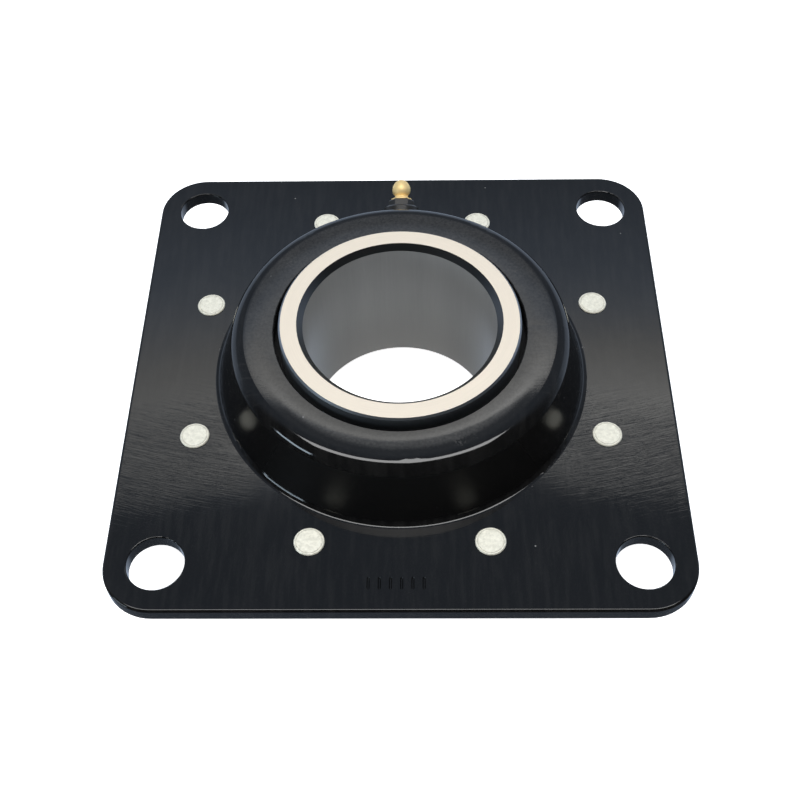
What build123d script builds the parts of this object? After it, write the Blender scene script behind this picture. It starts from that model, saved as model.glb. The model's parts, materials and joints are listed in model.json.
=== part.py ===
from build123d import *
import os
from math import cos, radians, sin, sqrt, tan

# A four-bolt flange mount bearing: a ball bearing insert with a spherical outer ring,
# held between a square pressed-steel flange and a round pressed-steel backing flange.
# Origin on the bore axis at the back face of the square flange, +Z out of the dome.
os.makedirs("parts", exist_ok=True)

# ---------------------------------------------------------------- driving dimensions (mm)
INCH = 25.4
EDGE_MATCH = 0.01

# Square front flange and round rear flange
plate_side = 7 * INCH
plate_t = 3 / 16 * INCH
plate_corner_r = 5 / 8 * INCH
plate_edge_r = 0.9
bolt_spacing = 5.75 * INCH
bolt_hole_r = 11 / 32 * INCH
bolt_count = 4
bolt_rim_r = 0.4
rear_flange_r = 3.1875 * INCH

# Dome of each flange, heights measured from the bearing centre
bearing_z = 2.0
dome_opening_r = 40.5
dome_peak_r = 43.5
dome_peak_h = 24.65
crown_r = 67.0
shoulder_centre_r = 49.5
shoulder_r = 5.3
wall_taper = 17.5
foot_fillet_r = 2.0
dome_wall_t = 3.4
opening_rim_r = 0.25
seat_clearance = 0.08
foot_disc_gap = 1.0
foot_disc_overlap = 1.0

# Flange rivets
rivet_count = 8
rivet_circle_r = 5.625 / 2 * INCH
rivet_first_angle = 22.5
rivet_shank_r = 3.2
rivet_front_head_r = 4.7
rivet_front_head_h = 0.5
rivet_front_edge = 0.25
rivet_rear_head_r = 5.6
rivet_rear_head_h = 2.6
rivet_ring_r = 4.0
rivet_ring_depth = 0.12

# Outer ring of the insert
outer_r = 55.0
outer_width = 33.3
outer_shoulder_r = 47.4
seal_bore_r = 49.2
seal_bore_depth = 4.6
lube_groove_z = 6.9
lube_groove_w = 3.2
lube_groove_depth = 0.9
lube_hole_r = 1.3
lube_hole_count = 3

# Inner ring of the insert
bore_r = 2.4375 / 2 * INCH
inner_width = 2.1875 * INCH
inner_outer_r = 38.6
bore_chamfer = 1.85
ring_edge_chamfer = 0.6

# Balls and ribbon cage
ball_count = 10
ball_r = 9 / 32 * INCH
pitch_r = 43.0
race_clearance = 0.05
race_conformity = 1.04
cage_sheet = 1.2
cage_pocket_clearance = 0.15
cage_inner_r = 40.6
cage_outer_r = 45.4
cage_rivet_r = 1.1
cage_rivet_head_r = 1.9
cage_rivet_head_h = 0.7

# Seals
seal_sheet = 1.0
seal_case_inner_r = 41.2
seal_case_height = 3.8
seal_lip_count = 3
seal_lip_pitch = 1.05
seal_lip_h = 1.5
seal_lip_lean = 0.75
seal_lip_clearance = 0.1
seal_rubber_outer_r = 46.6

# Grease fitting, its axis leaning out of the dome wall
fitting_origin_y = 59.6
fitting_origin_z = 12.0
fitting_lean = 32.0
boss_base_r = 6.1
boss_base_h = 5.3
boss_base_edge = 0.5
boss_hex_flats = 7.8
boss_h = 7.9
boss_hex_edge = 0.35
boss_spigot_r = 4.0
boss_socket_depth = 5.2
fitting_shank_r = 3.0
fitting_skirt_r = 3.6
fitting_skirt_h = 0.4
fitting_skirt_sag = 0.3
fitting_neck_r = 2.15
fitting_neck_drop = 2.1
fitting_head_r = 3.25
fitting_head_h = 3.6
fitting_nose_h = 3.6
fitting_tip_r = 1.0
grease_bore_r = 1.25
inlet_r = 0.75
inlet_depth = 0.8
check_ball_r = 1.1
check_gap = 0.02
spring_wire_r = 0.16
spring_coil_r = 0.85
spring_length = 3.6
spring_turns = 6

# Plain impressed index bars near the front edge of the square flange
bar_count = 6
bar_pitch = 3.3
bar_w = 0.9
bar_l = 4.0
bar_depth = 0.35
bar_slope = 40
bar_y = -79.8
bar_x = -1.0

# ---------------------------------------------------------------- derived dimensions
seat_r = outer_r + seat_clearance
dome_edge_h = dome_peak_h - crown_r + sqrt(crown_r**2 - (dome_peak_r - dome_opening_r) ** 2)
groove_r = ball_r * race_conformity
outer_groove_centre_r = pitch_r + ball_r + race_clearance - groove_r
inner_groove_centre_r = pitch_r - ball_r - race_clearance + groove_r
outer_half = outer_width / 2
inner_half = inner_width / 2
lean = radians(fitting_lean)
fitting_origin = Vector(0, fitting_origin_y, fitting_origin_z)
fitting_dir = Vector(0, cos(lean), sin(lean))
fitting_axis = Axis(fitting_origin, fitting_dir)
fitting_plane = Plane(origin=fitting_origin, x_dir=(1, 0, 0), z_dir=fitting_dir)
fitting_section = Plane(origin=fitting_origin, x_dir=(1, 0, 0), z_dir=(0, -sin(lean), cos(lean)))
bearing_plane = Plane.XY.offset(bearing_z)
bearing_section = Plane(origin=(0, 0, bearing_z), x_dir=(1, 0, 0), z_dir=(0, -1, 0))


def sphere_r(radius, height):
    """Radius of the section of a sphere at a height from its centre."""
    return sqrt(radius**2 - height**2)


def arc_r(sag, reach):
    """Radius of an arc that leaves a line at a tangent and drifts by sag over a reach."""
    return (sag**2 + reach**2) / (2 * sag)


def mirrored_section(side):
    """Section plane through the bearing centre: +1 looks at the front half, -1 at the rear."""
    return Plane(origin=(0, 0, bearing_z), x_dir=(1, 0, 0), z_dir=(0, -side, 0))


def circles_of(part, radius):
    """Circular edges of one radius on a part, lowest first."""
    rings = part.edges().filter_by(GeomType.CIRCLE)
    return rings.filter_by(lambda ring: abs(ring.radius - radius) < EDGE_MATCH).sort_by(Axis.Z)


def dome_outline(face_h, disc_r):
    """Outer line of a flange: crown, shoulder, leaning wall, foot fillet and flange face."""
    taper = radians(wall_taper)
    edge = (dome_opening_r, dome_edge_h)
    reach = shoulder_centre_r - dome_peak_r
    crown_centre_h = dome_peak_h - crown_r
    shoulder_h = crown_centre_h + sqrt((crown_r - shoulder_r) ** 2 - reach**2)
    fall = reach / (crown_r - shoulder_r)
    crown_end = (dome_peak_r + crown_r * fall, crown_centre_h + crown_r * sqrt(1 - fall**2))
    wall_top = (shoulder_centre_r + shoulder_r * cos(taper), shoulder_h + shoulder_r * sin(taper))
    wall_foot_h = face_h + foot_fillet_r * (1 - sin(taper))
    wall_foot = (wall_top[0] + (wall_top[1] - wall_foot_h) * tan(taper), wall_foot_h)
    foot_end = (wall_foot[0] + foot_fillet_r * cos(taper), face_h)
    RadiusArc(edge, crown_end, crown_r)
    RadiusArc(crown_end, wall_top, shoulder_r)
    Line(wall_top, wall_foot)
    RadiusArc(wall_foot, foot_end, -foot_fillet_r)
    Line(foot_end, (disc_r, face_h))


def seat_outline(back_h):
    """Inner line of a flange: spherical seat, straight below the equator, and crown underside."""
    under_peak_h = dome_peak_h - dome_wall_t
    under_edge = (dome_opening_r, dome_edge_h - dome_wall_t)
    seat_top = (sphere_r(seat_r, under_peak_h), under_peak_h)
    seat_foot = (sphere_r(seat_r, max(back_h, 0)), max(back_h, 0))
    seat_mid_h = (seat_top[1] + seat_foot[1]) / 2
    seat_mid = (sphere_r(seat_r, seat_mid_h), seat_mid_h)
    if back_h < 0:
        Line((seat_r, back_h), seat_foot)
    ThreePointArc(seat_foot, seat_mid, seat_top)
    Line(seat_top, under_edge)
    Line(under_edge, (dome_opening_r, dome_edge_h))


def flange_outline(face_h, back_h, disc_r):
    """Closed half section of a flange, drawn in a mirrored_section plane."""
    back_r = sphere_r(seat_r, max(back_h, 0))
    dome_outline(face_h, disc_r)
    Line((disc_r, face_h), (disc_r, back_h))
    Line((disc_r, back_h), (back_r, back_h))
    seat_outline(back_h)


# ---------------------------------------------------------------- front flange
front_face_h = plate_t - bearing_z
foot_disc_r = rivet_circle_r - rivet_front_head_r - foot_disc_gap

with BuildPart() as front_flange:
    with BuildSketch(Plane.XY):
        RectangleRounded(plate_side, plate_side, plate_corner_r)
        Circle(foot_disc_r - foot_disc_overlap, mode=Mode.SUBTRACT)
    extrude(amount=plate_t)
    fillet(front_flange.faces().sort_by(Axis.Z)[-1].outer_wire().edges(), plate_edge_r)
    with BuildSketch(mirrored_section(1)):
        with BuildLine():
            flange_outline(front_face_h, -bearing_z, foot_disc_r)
        make_face()
    revolve(axis=Axis.Z)
    fillet(circles_of(front_flange, dome_opening_r)[-1], opening_rim_r)
    with BuildSketch(Plane.XY):
        with GridLocations(bolt_spacing, bolt_spacing, 2, 2):
            Circle(bolt_hole_r)
    extrude(amount=plate_t, mode=Mode.SUBTRACT)
    fillet(circles_of(front_flange, bolt_hole_r)[-bolt_count:], bolt_rim_r)
    with BuildSketch(Plane.XY):
        with PolarLocations(rivet_circle_r, rivet_count, start_angle=rivet_first_angle):
            Circle(rivet_shank_r)
    extrude(amount=plate_t, mode=Mode.SUBTRACT)
    with BuildSketch(Plane.XY.offset(plate_t)):
        with Locations((bar_x, bar_y)):
            with GridLocations(bar_pitch, bar_l, bar_count, 1):
                SlotOverall(bar_l, bar_w, rotation=90)
    extrude(amount=-bar_depth, taper=bar_slope, mode=Mode.SUBTRACT)
    with BuildSketch(fitting_plane):
        Circle(boss_spigot_r)
    extrude(amount=-boss_h, mode=Mode.SUBTRACT)
front_flange.part.label = "front_flange"
export_step(front_flange.part, "parts/front_flange.step")

# ---------------------------------------------------------------- rear flange
with BuildPart() as rear_flange:
    with BuildSketch(mirrored_section(-1)):
        with BuildLine():
            flange_outline(plate_t + bearing_z, bearing_z, rear_flange_r)
        make_face()
    revolve(axis=Axis.Z)
    fillet(circles_of(rear_flange, dome_opening_r)[0], opening_rim_r)
    fillet(circles_of(rear_flange, rear_flange_r)[0], plate_edge_r)
    with BuildSketch(Plane.XY):
        with PolarLocations(rivet_circle_r, rivet_count, start_angle=rivet_first_angle):
            Circle(rivet_shank_r)
    extrude(amount=-plate_t, mode=Mode.SUBTRACT)
rear_flange.part.label = "rear_flange"
export_step(rear_flange.part, "parts/rear_flange.step")

# ---------------------------------------------------------------- flange rivets
with BuildPart() as one_rivet:
    with BuildSketch(Plane.XZ):
        with BuildLine():
            front_top = plate_t + rivet_front_head_h
            rear_top = -plate_t - rivet_rear_head_h
            Line((0, rear_top), (rivet_rear_head_r / 2, rear_top))
            RadiusArc((rivet_rear_head_r / 2, rear_top), (rivet_rear_head_r, -plate_t), -rivet_rear_head_r)
            Polyline(
                (rivet_rear_head_r, -plate_t),
                (rivet_shank_r, -plate_t),
                (rivet_shank_r, plate_t),
                (rivet_front_head_r, plate_t),
                (rivet_front_head_r, front_top - rivet_front_edge),
                (rivet_front_head_r - rivet_front_edge, front_top),
                (rivet_ring_r + rivet_ring_depth, front_top),
                (rivet_ring_r, front_top - rivet_ring_depth),
                (rivet_ring_r - rivet_ring_depth, front_top),
                (0, front_top),
                (0, rear_top),
            )
        make_face()
    revolve(axis=Axis.Z)

with BuildPart() as flange_rivets:
    with PolarLocations(rivet_circle_r, rivet_count, start_angle=rivet_first_angle):
        add(one_rivet.part)
flange_rivets.part.label = "flange_rivets"
export_step(flange_rivets.part, "parts/flange_rivets.step")

# ---------------------------------------------------------------- lube boss on the dome wall
with BuildPart() as dome_blank:
    with BuildSketch(mirrored_section(1)):
        with BuildLine():
            dome_outline(front_face_h, foot_disc_r)
            Polyline(
                (foot_disc_r, front_face_h),
                (foot_disc_r, -bearing_z),
                (0, -bearing_z),
                (0, dome_edge_h),
                (dome_opening_r, dome_edge_h),
            )
        make_face()
    revolve(axis=Axis.Z)

with BuildPart() as lube_boss:
    with BuildSketch(fitting_section):
        with BuildLine():
            Polyline(
                (0, -boss_h),
                (boss_base_r, -boss_h),
                (boss_base_r, boss_base_h - boss_base_edge),
                (boss_base_r - boss_base_edge, boss_base_h),
                (0, boss_base_h),
                (0, -boss_h),
            )
        make_face()
    revolve(axis=fitting_axis)
    with BuildSketch(fitting_plane.offset(boss_base_h)):
        RegularPolygon(boss_hex_flats / 2, 6, major_radius=False)
    extrude(amount=boss_h - boss_base_h)
    hex_rim = lube_boss.faces().sort_by(fitting_axis)[-1].outer_wire().edges()
    chamfer(hex_rim, boss_hex_edge)
    add(dome_blank.part, mode=Mode.SUBTRACT)
    with BuildSketch(fitting_plane):
        Circle(boss_spigot_r)
    extrude(amount=-boss_h)
    with BuildSketch(fitting_plane):
        Circle(grease_bore_r)
    extrude(amount=boss_h, both=True, mode=Mode.SUBTRACT)
    with BuildSketch(fitting_plane.offset(boss_h)):
        Circle(fitting_shank_r)
    extrude(amount=-boss_socket_depth, mode=Mode.SUBTRACT)
    with BuildSketch(bearing_section):
        with BuildLine():
            ThreePointArc((0, -seat_r), (seat_r, 0), (0, seat_r))
            Line((0, seat_r), (0, -seat_r))
        make_face()
    revolve(axis=Axis.Z, mode=Mode.SUBTRACT)
lube_boss.part.label = "lube_boss"
export_step(lube_boss.part, "parts/lube_boss.step")

# ---------------------------------------------------------------- grease fitting, check ball and spring
head_h = boss_h + fitting_head_h
neck_h = head_h - fitting_neck_drop
tip_h = head_h + fitting_nose_h
lower_head_r = arc_r(fitting_head_r - fitting_neck_r, fitting_neck_drop)
upper_head_r = arc_r(fitting_head_r - fitting_tip_r, fitting_nose_h)
inlet_floor = tip_h - inlet_depth
with BuildPart() as grease_fitting:
    with BuildSketch(fitting_section):
        with BuildLine():
            skirt_top = (fitting_skirt_r, boss_h + fitting_skirt_h)
            Polyline(
                (grease_bore_r, boss_h - boss_socket_depth),
                (fitting_shank_r, boss_h - boss_socket_depth),
                (fitting_shank_r, boss_h),
                (fitting_skirt_r, boss_h),
                skirt_top,
            )
            SagittaArc(skirt_top, (fitting_neck_r, neck_h), fitting_skirt_sag)
            RadiusArc((fitting_neck_r, neck_h), (fitting_head_r, head_h), -lower_head_r)
            RadiusArc((fitting_head_r, head_h), (fitting_tip_r, tip_h), -upper_head_r)
            Polyline(
                (fitting_tip_r, tip_h),
                (inlet_r, tip_h),
                (inlet_r, inlet_floor),
                (grease_bore_r, inlet_floor - (grease_bore_r - inlet_r)),
                (grease_bore_r, boss_h - boss_socket_depth),
            )
        make_face()
    revolve(axis=fitting_axis)
grease_fitting.part.label = "grease_fitting"
export_step(grease_fitting.part, "parts/grease_fitting.step")

# The ball rests on the cone below the inlet.
check_ball_h = inlet_floor - sqrt(2) * (check_ball_r + check_gap) + inlet_r
with BuildPart() as grease_check_ball:
    with Locations(Location(fitting_origin + fitting_dir * check_ball_h)):
        Sphere(check_ball_r)
grease_check_ball.part.label = "grease_check_ball"
export_step(grease_check_ball.part, "parts/grease_check_ball.step")

spring_contact_h = sphere_r(check_ball_r, spring_coil_r - spring_wire_r)
spring_top_h = check_ball_h - spring_contact_h - 2 * spring_wire_r
spring_base = fitting_origin + fitting_dir * (spring_top_h - spring_length)
with BuildPart() as grease_check_spring:
    with BuildLine():
        coil = Helix(
            pitch=spring_length / spring_turns,
            height=spring_length,
            radius=spring_coil_r,
            center=spring_base,
            direction=fitting_dir,
        )
    with BuildSketch(Plane(origin=coil @ 0, z_dir=coil % 0)):
        Circle(spring_wire_r)
    sweep(path=coil, is_frenet=True)
grease_check_spring.part.label = "grease_check_spring"
export_step(grease_check_spring.part, "parts/grease_check_spring.step")

# ---------------------------------------------------------------- outer ring
with BuildPart() as outer_ring:
    with BuildSketch(bearing_section):
        with BuildLine():
            face_r = sphere_r(outer_r, outer_half)
            seal_h = outer_half - seal_bore_depth
            ThreePointArc((face_r, -outer_half), (outer_r, 0), (face_r, outer_half))
            Polyline(
                (face_r, outer_half),
                (seal_bore_r, outer_half),
                (seal_bore_r, seal_h),
                (outer_shoulder_r, seal_h),
                (outer_shoulder_r, -seal_h),
                (seal_bore_r, -seal_h),
                (seal_bore_r, -outer_half),
                (face_r, -outer_half),
            )
        make_face()
        with Locations((outer_groove_centre_r, 0)):
            Circle(groove_r, mode=Mode.SUBTRACT)
        groove_floor_r = sphere_r(outer_r, lube_groove_z) - lube_groove_depth
        with Locations((groove_floor_r, lube_groove_z)):
            Rectangle(outer_r, lube_groove_w, align=(Align.MIN, Align.CENTER), mode=Mode.SUBTRACT)
    revolve(axis=Axis.Z)
    for index in range(lube_hole_count):
        turn = 90 + 360 * index / lube_hole_count
        spoke = Vector(cos(radians(turn)), sin(radians(turn)), 0)
        hole_start = spoke * pitch_r + Vector(0, 0, bearing_z + lube_groove_z)
        with BuildSketch(Plane(origin=hole_start, z_dir=spoke)):
            Circle(lube_hole_r)
        extrude(amount=outer_r - pitch_r, mode=Mode.SUBTRACT)
outer_ring.part.label = "outer_ring"
export_step(outer_ring.part, "parts/outer_ring.step")

# ---------------------------------------------------------------- inner ring
with BuildPart() as inner_ring:
    with BuildSketch(bearing_section):
        with BuildLine():
            Polyline(
                (bore_r, bore_chamfer - inner_half),
                (bore_r + bore_chamfer, -inner_half),
                (inner_outer_r - ring_edge_chamfer, -inner_half),
                (inner_outer_r, ring_edge_chamfer - inner_half),
                (inner_outer_r, inner_half - ring_edge_chamfer),
                (inner_outer_r - ring_edge_chamfer, inner_half),
                (bore_r + bore_chamfer, inner_half),
                (bore_r, inner_half - bore_chamfer),
                (bore_r, bore_chamfer - inner_half),
            )
        make_face()
        with Locations((inner_groove_centre_r, 0)):
            Circle(groove_r, mode=Mode.SUBTRACT)
    revolve(axis=Axis.Z)
inner_ring.part.label = "inner_ring"
export_step(inner_ring.part, "parts/inner_ring.step")

# ---------------------------------------------------------------- balls
ball_step = 360 / ball_count
for index in range(ball_count):
    turn = radians(index * ball_step)
    with BuildPart() as ball:
        with Locations((pitch_r * cos(turn), pitch_r * sin(turn), bearing_z)):
            Sphere(ball_r)
    ball.part.label = f"ball_{index + 1:02d}"
    export_step(ball.part, f"parts/{ball.part.label}.step")

# ---------------------------------------------------------------- ribbon cage in two halves
pocket_r = ball_r + cage_pocket_clearance
cup_r = pocket_r + cage_sheet


def cage_half(side):
    """One pressed half: cups over the balls joined by flat lands, cut to the cage band."""
    with BuildPart() as half:
        with BuildSketch(bearing_plane):
            Circle(cage_outer_r)
            Circle(cage_inner_r, mode=Mode.SUBTRACT)
        extrude(amount=side * cage_sheet)
        with Locations(bearing_plane):
            with PolarLocations(pitch_r, ball_count):
                Sphere(cup_r)
        with BuildSketch(bearing_plane):
            Circle(cage_outer_r)
            Circle(cage_inner_r, mode=Mode.SUBTRACT)
        extrude(amount=side * cup_r, mode=Mode.INTERSECT)
        with Locations(bearing_plane):
            with PolarLocations(pitch_r, ball_count):
                Sphere(pocket_r, mode=Mode.SUBTRACT)
            with PolarLocations(pitch_r, ball_count, start_angle=ball_step / 2):
                Cylinder(cage_rivet_r, 2 * cup_r, mode=Mode.SUBTRACT)
    return half


for cage_name, side in (("cage_front", 1), ("cage_rear", -1)):
    cage = cage_half(side)
    cage.part.label = cage_name
    export_step(cage.part, f"parts/{cage_name}.step")

with BuildPart() as cage_rivets:
    with Locations(bearing_plane):
        with PolarLocations(pitch_r, ball_count, start_angle=ball_step / 2):
            Cylinder(cage_rivet_r, 2 * cage_sheet)
    for side in (1, -1):
        with BuildSketch(bearing_plane.offset(side * cage_sheet)):
            with PolarLocations(pitch_r, ball_count, start_angle=ball_step / 2):
                Circle(cage_rivet_head_r)
        extrude(amount=side * cage_rivet_head_h)
cage_rivets.part.label = "cage_rivets"
export_step(cage_rivets.part, "parts/cage_rivets.step")

# ---------------------------------------------------------------- seals, one set at each end
seal_floor = outer_half - seal_bore_depth
case_top = seal_floor + seal_case_height
web_bottom = case_top - seal_sheet
lip_tip_r = inner_outer_r + seal_lip_clearance
for end_name, side in (("front", 1), ("rear", -1)):
    with BuildPart() as seal_case:
        with BuildSketch(mirrored_section(side)):
            with BuildLine():
                Polyline(
                    (seal_bore_r, seal_floor),
                    (seal_bore_r, case_top),
                    (seal_case_inner_r, case_top),
                    (seal_case_inner_r, web_bottom),
                    (seal_bore_r - seal_sheet, web_bottom),
                    (seal_bore_r - seal_sheet, seal_floor),
                    (seal_bore_r, seal_floor),
                )
            make_face()
        revolve(axis=Axis.Z)
    seal_case.part.label = f"{end_name}_seal_case"
    export_step(seal_case.part, f"parts/{seal_case.part.label}.step")

    with BuildPart() as seal_lips:
        with BuildSketch(mirrored_section(side)):
            with BuildLine():
                root_r = lip_tip_r + seal_lip_h
                lip_low = web_bottom - seal_lip_count * seal_lip_pitch
                points = [(seal_rubber_outer_r, lip_low), (root_r, lip_low)]
                for lip in range(seal_lip_count):
                    lip_h = lip_low + lip * seal_lip_pitch
                    points.append((lip_tip_r, lip_h + seal_lip_lean * seal_lip_pitch))
                    points.append((root_r, lip_h + seal_lip_pitch))
                points.append((seal_rubber_outer_r, web_bottom))
                Polyline(*points, close=True)
            make_face()
        revolve(axis=Axis.Z)
    seal_lips.part.label = f"{end_name}_seal_lips"
    export_step(seal_lips.part, f"parts/{seal_lips.part.label}.step")
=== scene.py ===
import json
import math

import bpy
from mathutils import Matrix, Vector


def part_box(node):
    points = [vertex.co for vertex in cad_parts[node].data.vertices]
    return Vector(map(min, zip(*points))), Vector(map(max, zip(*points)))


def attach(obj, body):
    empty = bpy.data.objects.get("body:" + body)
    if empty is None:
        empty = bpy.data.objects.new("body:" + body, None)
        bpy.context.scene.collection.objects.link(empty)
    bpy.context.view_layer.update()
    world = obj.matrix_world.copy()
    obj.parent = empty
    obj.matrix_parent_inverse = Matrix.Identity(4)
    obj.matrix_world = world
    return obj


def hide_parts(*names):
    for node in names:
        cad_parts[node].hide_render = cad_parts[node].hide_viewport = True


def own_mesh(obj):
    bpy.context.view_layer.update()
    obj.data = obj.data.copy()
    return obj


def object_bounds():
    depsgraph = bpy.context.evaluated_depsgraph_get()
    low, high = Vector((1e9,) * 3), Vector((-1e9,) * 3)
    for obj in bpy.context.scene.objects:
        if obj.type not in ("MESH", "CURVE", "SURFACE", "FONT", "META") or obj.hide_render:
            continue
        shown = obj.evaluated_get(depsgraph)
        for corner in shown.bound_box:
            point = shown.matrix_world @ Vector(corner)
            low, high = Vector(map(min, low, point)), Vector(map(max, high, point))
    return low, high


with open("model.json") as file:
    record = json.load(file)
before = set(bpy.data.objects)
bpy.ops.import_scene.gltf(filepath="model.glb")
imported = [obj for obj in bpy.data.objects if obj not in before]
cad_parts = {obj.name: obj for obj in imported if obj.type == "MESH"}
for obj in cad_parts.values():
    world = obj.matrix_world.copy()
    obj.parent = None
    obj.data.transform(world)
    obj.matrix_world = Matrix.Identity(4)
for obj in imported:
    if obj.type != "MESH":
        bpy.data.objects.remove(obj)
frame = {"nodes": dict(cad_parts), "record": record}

CAD_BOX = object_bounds()

# ---------------------------------------------------------------- places read from the frame, and given numbers (metres)
FLOOR_Z = CAD_BOX[0][2]
MOUNTS = {m["name"]: m for m in frame["record"]["mounts"]}
BORE_R = MOUNTS["shaft_bore"]["dims"]["r_mm"] / 1000
RING_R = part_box("inner_ring")[1][0]
CROWN_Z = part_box("front_flange")[1][2]
RIVET_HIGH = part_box("flange_rivets")[1]
RIVET_COUNT = 8
RIVET_STEP = 2 * math.pi / RIVET_COUNT
RIVET_HEAD_R = 0.0056
RIVET_CIRCLE_R = (RIVET_HIGH[0] - RIVET_HEAD_R) / math.cos(RIVET_STEP / 2)
DOME_FOOT_R = 0.0617
CROWN_IN_R = 0.0405
CROWN_OUT_R = 0.0503
CROWN_DROP = 0.0007
CROWN_PEAK_R = 0.0455
WALL_NORMAL_Z = math.sin(math.radians(17.5))
PLATE_STREAK_BEND = 1.7
MICRON = 0.000001
BOSS_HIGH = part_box("lube_boss")[1]


# ---------------------------------------------------------------- node graph helper
class Graph:
    """A short way to write a material's nodes: each call makes one node and returns its output."""

    def __init__(self, owner, output="ShaderNodeOutputMaterial"):
        owner.use_nodes = True
        self.owner = owner
        self.tree = owner.node_tree
        self.tree.nodes.clear()
        self.output = self.tree.nodes.new(output)

    def node(self, kind, inputs=(), out=0, **settings):
        made = self.tree.nodes.new(kind)
        for key, value in settings.items():
            setattr(made, key, value)
        for key, value in dict(inputs).items():
            if isinstance(value, bpy.types.NodeSocket):
                self.tree.links.new(value, made.inputs[key])
            else:
                made.inputs[key].default_value = value
        return made.outputs[out]

    def place(self):
        return self.node("ShaderNodeTexCoord", out="Object")

    def split(self, vector):
        made = self.node("ShaderNodeSeparateXYZ", {0: vector}).node
        return made.outputs[0], made.outputs[1], made.outputs[2]

    def join(self, x, y, z):
        return self.node("ShaderNodeCombineXYZ", {0: x, 1: y, 2: z})

    def math(self, operation, a, b=0.0, c=0.0):
        inputs = {0: a, 1: b, 2: c}
        return self.node("ShaderNodeMath", inputs, operation=operation)

    def add(self, a, b):
        return self.math("ADD", a, b)

    def times(self, a, b):
        return self.math("MULTIPLY", a, b)

    def radius(self, x, y):
        return self.math("SQRT", self.add(self.times(x, x), self.times(y, y)))

    def noise(self, vector, scale, detail=2.0, rough=0.5, distortion=0.0):
        inputs = {"Vector": vector, "Scale": scale, "Detail": detail, "Roughness": rough}
        inputs["Distortion"] = distortion
        return self.node("ShaderNodeTexNoise", inputs, out="Fac")

    def cells(self, vector, scale):
        return self.node("ShaderNodeTexVoronoi", {"Vector": vector, "Scale": scale}, out="Distance")

    def stretch(self, vector, scale):
        return self.node("ShaderNodeMapping", {"Vector": vector, "Scale": scale})

    def band(self, value, low, high, out_low=0.0, out_high=1.0):
        """Smooth step from out_low at low to out_high at high."""
        inputs = {0: value, 1: low, 2: high, 3: out_low, 4: out_high}
        return self.node("ShaderNodeMapRange", inputs, interpolation_type="SMOOTHSTEP")

    def line(self, value, centre, half):
        """1 on the line value = centre, fading to 0 at half either side."""
        off = self.math("ABSOLUTE", self.math("SUBTRACT", value, centre))
        return self.band(off, half, 0.0)

    def mix(self, factor, a, b):
        inputs = {0: factor, 6: a, 7: b}
        return self.node("ShaderNodeMix", inputs, out=2, data_type="RGBA")

    def blend(self, factor, a, b):
        inputs = {0: factor, 2: a, 3: b}
        return self.node("ShaderNodeMix", inputs, out=0, data_type="FLOAT")

    def bump(self, height, distance):
        inputs = {"Height": height, "Distance": distance, "Strength": 1.0}
        return self.node("ShaderNodeBump", inputs)

    def normal_z(self):
        normal = self.node("ShaderNodeNewGeometry", out="Normal")
        return self.split(normal)[2]

    def surface(self, **inputs):
        shader = self.node("ShaderNodeBsdfPrincipled", inputs)
        self.tree.links.new(shader, self.output.inputs["Surface"])
        return self.owner


def grey(value, tint=(1.0, 1.0, 1.0)):
    """A grey of linear brightness value, leaning towards tint."""
    return (value * tint[0], value * tint[1], value * tint[2], 1.0)


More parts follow.
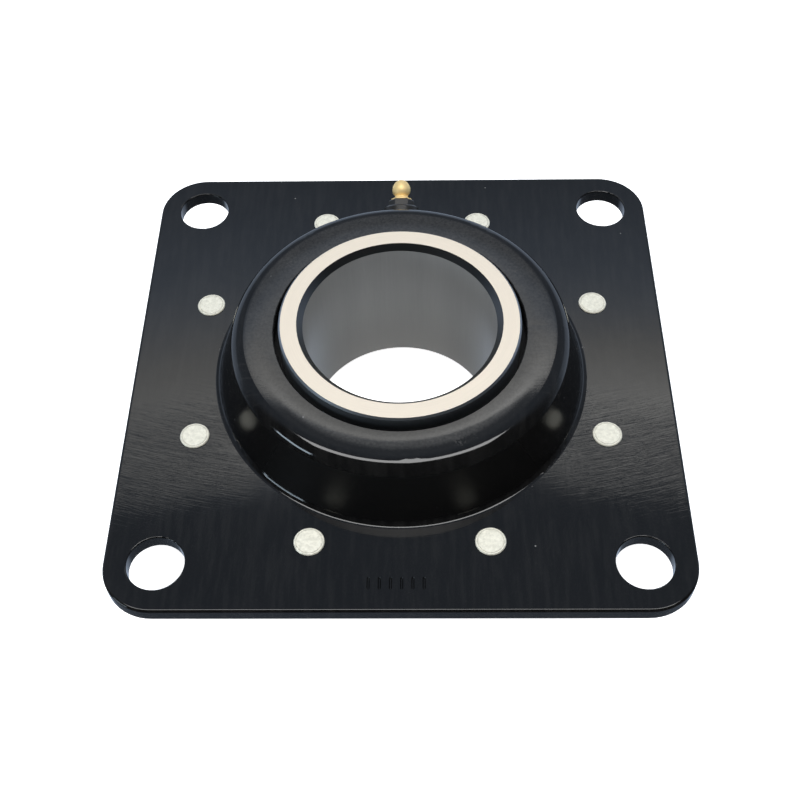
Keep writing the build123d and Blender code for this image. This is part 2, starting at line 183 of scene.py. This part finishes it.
# ---------------------------------------------------------------- materials
def black_paint():
    """Gloss black enamel with orange peel, wavy streaks, a crown film that is partly dust and partly
    painted sheen, painted highlight and shade on the crown, painted shade on the dome's wall, dust specks
    and a few chips.
    """
    g = Graph(bpy.data.materials.new("black_paint"))
    place = g.place()
    x, y, z = g.split(place)
    radius = g.radius(x, y)

    cloud = g.noise(place, 28.0, 4.0, 0.6)
    peel = g.noise(place, 900.0, 2.0)
    wave = g.noise(place, 70.0, 2.0)

    # wavy streaks on the plate, left and right of the dome
    bent = g.math("SUBTRACT", y, g.times(g.times(x, x), PLATE_STREAK_BEND))
    fine_place = g.join(g.times(x, 90.0), g.times(bent, 1500.0), g.times(z, 300.0))
    fine = g.noise(fine_place, 1.0, 3.0, 0.65, 1.2)
    side = g.band(g.math("ABSOLUTE", x), 0.036, 0.054)
    middle = g.line(g.add(y, g.times(g.math("ABSOLUTE", x), 0.25)), -0.014, 0.036)
    streak_zone = g.times(g.times(side, middle), g.band(cloud, 0.26, 0.46))
    streaks = g.times(g.band(fine, 0.52, 0.72), streak_zone)

    # a film on the crown, partly dust and partly painted sheen, thinned at the front towards the shoulder
    # as painted shade, with a painted highlight along the crown's peak at the front, scuffs and a rubbed
    # rim
    crown = g.band(z, CROWN_Z - 0.0012, CROWN_Z - CROWN_DROP)
    crown = g.times(crown, g.band(radius, CROWN_OUT_R, CROWN_OUT_R - 0.0015))
    grit = g.noise(place, 1300.0, 3.0, 0.7)
    haze_noise = g.noise(g.stretch(place, (1.0, 1.0, 0.0)), 60.0, 4.0, 0.65)
    # painted shade: the crown's film thinned at the front, towards the shoulder
    painted_front_shade = g.times(g.band(y, -0.014, -0.034), g.band(radius, 0.0456, 0.0480))
    crown_dust_and_sheen = g.times(crown, g.blend(painted_front_shade, 1.0, 0.25))
    crown_dust_and_sheen = g.times(crown_dust_and_sheen, g.band(haze_noise, 0.1, 0.7, 0.7, 1.2))
    # painted highlight: a brighter band along the crown's peak at the front
    painted_crown_highlight = g.times(g.line(radius, CROWN_PEAK_R, 0.0022), g.band(y, -0.022, -0.034))
    crown_dust_and_sheen = g.times(g.add(crown_dust_and_sheen, g.times(painted_crown_highlight, 0.7)), g.band(grit, 0.3, 0.7, 0.65, 1.35))
    scuff = g.times(g.times(crown, g.band(haze_noise, 0.56, 0.7)), g.band(grit, 0.45, 0.62))
    rim = g.band(z, CROWN_Z - 0.002, CROWN_Z - CROWN_DROP)
    rim = g.times(rim, g.line(radius, CROWN_IN_R, 0.0007))
    rim = g.times(rim, g.band(g.noise(place, 300.0, 3.0, 0.7), 0.42, 0.62))

    # satin paint on the boss of the grease nipple
    boss = g.times(g.band(z, BOSS_HIGH[2] - 0.0115, BOSS_HIGH[2] - 0.0105), g.band(y, 0.0575, 0.0585))
    boss = g.times(boss, g.band(g.math("ABSOLUTE", x), BOSS_HIGH[0] + 0.0010, BOSS_HIGH[0] + 0.0004))

    # dust specks, and chips along the dome's foot
    speck = g.cells(place, 130.0)
    speck_size = g.noise(place, 260.0, 1.0)
    dust = g.times(g.band(speck, 0.045, 0.025), g.band(speck_size, 0.57, 0.66))
    foot = g.times(g.line(radius, DOME_FOOT_R, 0.0009), g.band(z, 0.012, 0.008))
    chip_noise = g.noise(place, 420.0, 3.0, 0.7)
    chips = g.times(foot, g.band(chip_noise, 0.62, 0.68))
    chips = g.times(chips, g.band(g.noise(place, 30.0), 0.5, 0.6))
    marks = g.math("MAXIMUM", dust, chips)

    # a thin brushed film everywhere except on the dome's cone wall, which is left without it as painted
    # shade
    film = g.band(g.noise(g.stretch(place, (520.0, 60.0, 60.0)), 1.0, 4.0, 0.65), 0.4, 0.7)
    film = g.add(g.times(film, 0.004), g.times(g.band(grit, 0.5, 0.75), 0.003))
    wall = g.line(g.normal_z(), WALL_NORMAL_Z, 0.08)
    # painted shade: no film on the dome's cone wall, so it stays darker
    film = g.times(film, g.math("SUBTRACT", 1.0, wall))

    base = g.mix(cloud, grey(0.0025, (1.0, 1.0, 1.05)), grey(0.0045, (1.05, 1.0, 0.95)))
    # the crown film's painted sheen, highlight and shade join real wear, the thin film, scuffs, streaks
    # and the boss's satin paint in lifting the base colour
    wear_and_sheen = g.math("MAXIMUM", g.times(crown_dust_and_sheen, 0.021), g.times(rim, 0.05))
    wear_and_sheen = g.math("MAXIMUM", wear_and_sheen, film)
    wear_and_sheen = g.math("MAXIMUM", wear_and_sheen, g.times(scuff, 0.04))
    wear_and_sheen = g.math("MAXIMUM", wear_and_sheen, g.times(streaks, 0.015))
    wear_and_sheen = g.math("MAXIMUM", wear_and_sheen, g.times(boss, 0.016))
    worn_and_sheen = g.mix(wear_and_sheen, base, grey(1.0, (1.0, 0.98, 0.94)))
    colour = g.mix(g.times(marks, 0.4), worn_and_sheen, grey(0.36))

    rough = g.blend(g.band(cloud, 0.3, 0.7), 0.05, 0.085)
    rough = g.add(rough, g.times(streak_zone, 0.03))
    rough = g.add(rough, g.times(scuff, 0.16))
    rough = g.math("MAXIMUM", rough, g.times(wall, g.band(y, -0.032, -0.05, 0.2, 0.34)))
    rough = g.math("MAXIMUM", rough, g.times(boss, 0.34))
    rough = g.blend(marks, rough, 0.6)

    height = g.add(g.times(peel, 0.05), g.times(wave, 0.5))
    height = g.add(height, g.times(g.times(fine, streak_zone), 0.8))
    height = g.add(height, g.times(g.times(grit, crown), 0.08))
    height = g.add(height, g.times(marks, 0.6))
    normal = g.bump(height, 40 * MICRON)
    return g.surface(**{
        "Base Color": colour, "Roughness": rough, "Normal": normal,
        "IOR": 1.5, "Metallic": 0.0,
    })


def ring_steel():
    """Bearing steel: ground end faces, a honed bore darkened towards its lower end as painted shade, dark
    chamfers and a dark greased outside.
    """
    g = Graph(bpy.data.materials.new("ring_steel"))
    place = g.place()
    x, y, z = g.split(place)
    radius = g.radius(x, y)
    facing = g.math("ABSOLUTE", g.normal_z())
    angle = g.math("ARCTAN2", y, x)

    face = g.band(facing, 0.93, 0.98)
    bore = g.times(g.band(facing, 0.2, 0.1), g.band(radius, BORE_R + 0.0006, BORE_R + 0.0003))
    outside = g.times(g.band(facing, 0.9, 0.6), g.band(radius, RING_R - 0.0012, RING_R - 0.0004))

    turn_place = g.join(g.times(radius, 5200.0), g.times(angle, 2.0), 0.0)
    turned = g.noise(turn_place, 1.0, 3.0, 0.7)
    hone_place = g.join(g.times(x, 2200.0), g.times(y, 2200.0), g.times(z, 70.0))
    honed = g.noise(hone_place, 1.0, 3.0, 0.6)
    streak_place = g.join(g.times(x, 130.0), g.times(y, 130.0), g.times(z, 6.0))
    streaked = g.band(g.noise(streak_place, 1.0, 2.0), 0.2, 0.8)
    stain = g.noise(place, 45.0, 4.0, 0.6)
    spin = g.join(g.math("COSINE", g.times(angle, 2.0)), g.math("SINE", g.times(angle, 2.0)), 0.0)
    sweep = g.noise(spin, 1.4, 2.0)

    face_colour = g.mix(turned, grey(0.84, (1.0, 0.885, 0.725)), grey(1.0, (1.0, 0.89, 0.735)))
    bore_tint = (1.0, 0.99, 0.95)
    bore_colour = g.mix(g.blend(0.6, streaked, honed), grey(0.37, bore_tint), grey(0.47, bore_tint))
    oiled = g.mix(stain, grey(0.36, (0.92, 1.0, 1.08)), grey(0.6, (0.94, 1.0, 1.06)))
    # painted shade: the bore darker towards its lower end, deeper in the ring
    bore_colour = g.mix(g.band(z, 0.012, -0.022, 0.0, 0.75), bore_colour, grey(0.22, (1.03, 1.0, 0.93)))
    colour = g.mix(bore, g.mix(outside, g.mix(face, grey(0.13), face_colour), oiled), bore_colour)
    rough = g.blend(face, 0.3, g.blend(sweep, 0.38, 0.5))
    rough = g.blend(bore, rough, g.blend(stain, 0.4, 0.5))
    rough = g.blend(outside, rough, 0.45)
    height = g.add(g.times(g.times(turned, face), 1.0), g.times(g.times(honed, bore), 0.6))
    normal = g.bump(height, 12 * MICRON)
    return g.surface(**{
        "Base Color": colour, "Roughness": rough, "Normal": normal,
        "Metallic": g.math("SUBTRACT", 1.0, g.add(g.times(face, 0.5), g.times(bore, 0.5))),
    })


def rivet_steel():
    """Bare clinched rivet ends with turned rings about each rivet's own centre, and a ring of painted
    shade 4 mm out from it.
    """
    g = Graph(bpy.data.materials.new("rivet_steel"))
    place = g.place()
    x, y, z = g.split(place)
    radius = g.radius(x, y)
    angle = g.math("ARCTAN2", y, x)
    folded = g.math("SUBTRACT", g.math("WRAP", angle, RIVET_STEP, 0.0), RIVET_STEP / 2)
    local_x = g.math("SUBTRACT", g.times(radius, g.math("COSINE", folded)), RIVET_CIRCLE_R)
    local_y = g.times(radius, g.math("SINE", folded))
    local_r = g.radius(local_x, local_y)
    ring_place = g.join(g.times(local_r, 2600.0), g.times(angle, 3.0), 0.0)
    rings = g.noise(ring_place, 1.0, 3.0, 0.6)
    blot = g.band(g.noise(place, 760.0, 4.0, 0.7), 0.3, 0.7)
    # painted shade: a darker ring 4 mm from each rivet's centre
    edge = g.line(local_r, 0.0040, 0.00035)
    colour = g.mix(blot, grey(0.76, (1.0, 0.97, 0.81)), grey(1.0, (1.0, 0.97, 0.83)))
    colour = g.mix(g.times(edge, 0.3), colour, grey(0.4))
    rough = g.blend(blot, 0.38, 0.46)
    height = g.add(rings, g.times(blot, 0.6))
    return g.surface(**{
        "Base Color": colour, "Roughness": rough, "Normal": g.bump(height, 20 * MICRON), "Metallic": 0.5,
    })


def yellow_zinc():
    """Yellow chromated zinc with faint green and pink drifts and a thin film of grease."""
    g = Graph(bpy.data.materials.new("yellow_zinc"))
    place = g.place()
    drift = g.noise(place, 260.0, 3.0, 0.6)
    fine = g.noise(place, 1800.0, 2.0)
    warm = g.mix(drift, (0.92, 0.66, 0.28, 1.0), (1.0, 0.80, 0.42, 1.0))
    colour = g.mix(g.band(drift, 0.58, 0.72), warm, (0.72, 0.64, 0.32, 1.0))
    rough = g.blend(fine, 0.5, 0.62)
    return g.surface(**{
        "Base Color": colour, "Roughness": rough, "Normal": g.bump(fine, 15 * MICRON), "Metallic": 0.55,
    })


def plain_steel(name, low, high, rough_low, rough_high, scale, tint=(1.0, 1.0, 1.0)):
    """Steel with fine drawing marks and a drifting tone."""
    g = Graph(bpy.data.materials.new(name))
    place = g.place()
    drift = g.noise(place, scale, 4.0, 0.6)
    fine = g.noise(place, scale * 22.0, 2.0)
    colour = g.mix(drift, grey(low, tint), grey(high, tint))
    rough = g.blend(g.add(g.times(drift, 0.6), g.times(fine, 0.4)), rough_low, rough_high)
    return g.surface(**{
        "Base Color": colour, "Roughness": rough, "Normal": g.bump(fine, 15 * MICRON), "Metallic": 1.0,
    })


def seal_rubber():
    """Matt nitrile rubber with a greasy bloom."""
    g = Graph(bpy.data.materials.new("seal_rubber"))
    place = g.place()
    bloom = g.noise(place, 120.0, 4.0, 0.6)
    grain = g.noise(place, 2400.0, 2.0)
    colour = g.mix(bloom, grey(0.008), grey(0.02))
    rough = g.blend(bloom, 0.45, 0.7)
    return g.surface(**{
        "Base Color": colour, "Roughness": rough, "Normal": g.bump(grain, 20 * MICRON), "Metallic": 0.0,
    })


MATERIALS = {
    "black_paint": black_paint(),
    "ring_steel": ring_steel(),
    "rivet_steel": rivet_steel(),
    "yellow_zinc": yellow_zinc(),
    "ball_steel": plain_steel("ball_steel", 0.7, 0.78, 0.06, 0.12, 60.0),
    "cage_steel": plain_steel("cage_steel", 0.42, 0.55, 0.3, 0.42, 90.0),
    "seal_steel": plain_steel("seal_steel", 0.03, 0.06, 0.35, 0.5, 110.0, (0.95, 1.0, 1.05)),
    "spring_steel": plain_steel("spring_steel", 0.4, 0.5, 0.25, 0.35, 300.0),
    "seal_rubber": seal_rubber(),
}

for part in frame["record"]["subparts"]:
    node = frame["nodes"][part["node"]]
    for slot in node.material_slots:
        slot.material = MATERIALS[part["material_slot"]]


# ---------------------------------------------------------------- spring behind the grease check ball
def check_spring():
    """The CAD spring's mesh on a piece of its own with the spring steel material, attached to the housing
    in place of the hidden CAD solid.
    """
    solid = frame["nodes"]["grease_check_spring"]
    spring = bpy.data.objects.new("check_spring", solid.data.copy())
    bpy.context.scene.collection.objects.link(spring)
    spring.matrix_world = solid.matrix_world.copy()
    spring.data.materials.clear()
    spring.data.materials.append(MATERIALS["spring_steel"])
    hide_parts("grease_check_spring")
    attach(spring, "housing")
    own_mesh(spring)


check_spring()


# ---------------------------------------------------------------- floor, light and camera
def floor_material():
    g = Graph(bpy.data.materials.new("floor_white"))
    tone = g.noise(g.place(), 3.0, 2.0)
    colour = g.mix(tone, grey(0.86), grey(0.88))
    return g.surface(**{
        "Base Color": colour, "Roughness": 0.9, "Emission Color": grey(1.0), "Emission Strength": 0.9,
    })


FLOOR_R = 6.0
bpy.ops.mesh.primitive_circle_add(vertices=96, radius=FLOOR_R, fill_type="NGON", location=(0, 0, FLOOR_Z))
floor = bpy.context.object
floor.name = "floor"
floor.data.materials.append(floor_material())
floor.visible_glossy = False


def soft_box(name, azimuth, elevation, distance, width, height, radiance, colour=(1, 1, 1)):
    """Area light facing the object from an azimuth (0 is +X, 90 is +Y) and elevation in degrees."""
    light = bpy.data.lights.new(name, "AREA")
    light.shape = "RECTANGLE"
    light.size = width
    light.size_y = height
    light.energy = radiance * math.pi * width * height
    light.color = colour
    made = bpy.data.objects.new(name, light)
    bpy.context.scene.collection.objects.link(made)
    across = math.cos(math.radians(elevation))
    way = Vector((
        across * math.cos(math.radians(azimuth)),
        across * math.sin(math.radians(azimuth)),
        math.sin(math.radians(elevation)),
    ))
    made.location = way * distance
    made.rotation_euler = way.to_track_quat("Z", "Y").to_euler()
    return made


PALE_BLUE = (0.72, 0.87, 1.0)
soft_box("overhead", azimuth=270, elevation=85.5, distance=3.0, width=3.4, height=0.78, radiance=7.0)
soft_box("left_window", 210, 7, distance=1.5, width=0.6, height=0.26, radiance=8.0, colour=PALE_BLUE)
fill = soft_box("fill", azimuth=270, elevation=70, distance=3.0, width=2.0, height=2.0, radiance=4.1)
fill.visible_glossy = False


LIT_FROM = 50.0
LIT_EDGES = (57.6, 59.4)
LIT_CAPS = (4.4, 2.5)


def studio_world():
    """A dim studio: a pale wall ahead, brighter upwards to a soft lit band, and dark behind the camera.

    tilt is the angle in degrees of a direction above +Y, in the plane of Y and Z. The lit band grows
    from LIT_FROM and ends at the two edges, the first on the right and the second on the left.
    """
    world = bpy.data.worlds.new("studio")
    g = Graph(world, "ShaderNodeOutputWorld")
    x, y, z = g.split(g.node("ShaderNodeTexCoord", out="Generated"))
    tilt = g.times(g.math("ARCTAN2", z, y), 180 / math.pi)
    left = g.band(x, 0.08, -0.08)
    wide = g.band(g.math("ABSOLUTE", x), 0.50, 0.16)

    above = g.math("SUBTRACT", tilt, LIT_FROM)
    rise = g.math("EXPONENT", g.times(above, 0.16))
    rise = g.math("MAXIMUM", rise, g.math("EXPONENT", g.times(above, g.blend(left, 0.22, 0.16))))
    edge = g.blend(left, *LIT_EDGES)
    fall = g.band(g.math("SUBTRACT", edge, tilt), 0.0, g.blend(left, 1.7, 3.6))
    lit = g.times(g.times(rise, fall), wide)
    lit = g.math("MINIMUM", lit, g.blend(left, *LIT_CAPS))
    ahead = g.band(y, -0.15, 0.3, 0.02, 0.28)
    backdrop = g.times(g.band(z, 0.42, 0.16, 0.0, 0.65), g.band(y, 0.05, 0.4))
    below = g.band(z, -0.4, -0.85, 0.0, 0.2)
    level = g.math("MAXIMUM", g.math("MAXIMUM", lit, ahead), g.math("MAXIMUM", below, backdrop))
    colour = g.mix(g.band(level, 0.5, 1.6), (0.80, 0.97, 1.24, 1.0), (1.0, 1.0, 0.98, 1.0))
    seen = g.node("ShaderNodeLightPath", out="Is Camera Ray")
    level = g.blend(seen, level, 1.0)
    colour = g.mix(seen, colour, grey(1.0))
    shader = g.node("ShaderNodeBackground", {0: colour, 1: level})
    g.tree.links.new(shader, g.output.inputs["Surface"])
    return world


bpy.context.scene.world = studio_world()

CAMERA_PLACE = (0.0061, -0.24004, 0.32065)
CAMERA_TURN = (0.62221, 0.015834, 0.005922)
CAMERA_LENS = 53.541
camera_data = bpy.data.cameras.new("camera")
camera_data.lens = CAMERA_LENS
camera_data.sensor_width = 36.0
camera_data.clip_start = 0.01
camera = bpy.data.objects.new("camera", camera_data)
camera.location = CAMERA_PLACE
camera.rotation_euler = CAMERA_TURN
bpy.context.scene.collection.objects.link(camera)
bpy.context.scene.camera = camera
bpy.context.scene.view_settings.view_transform = "Standard"
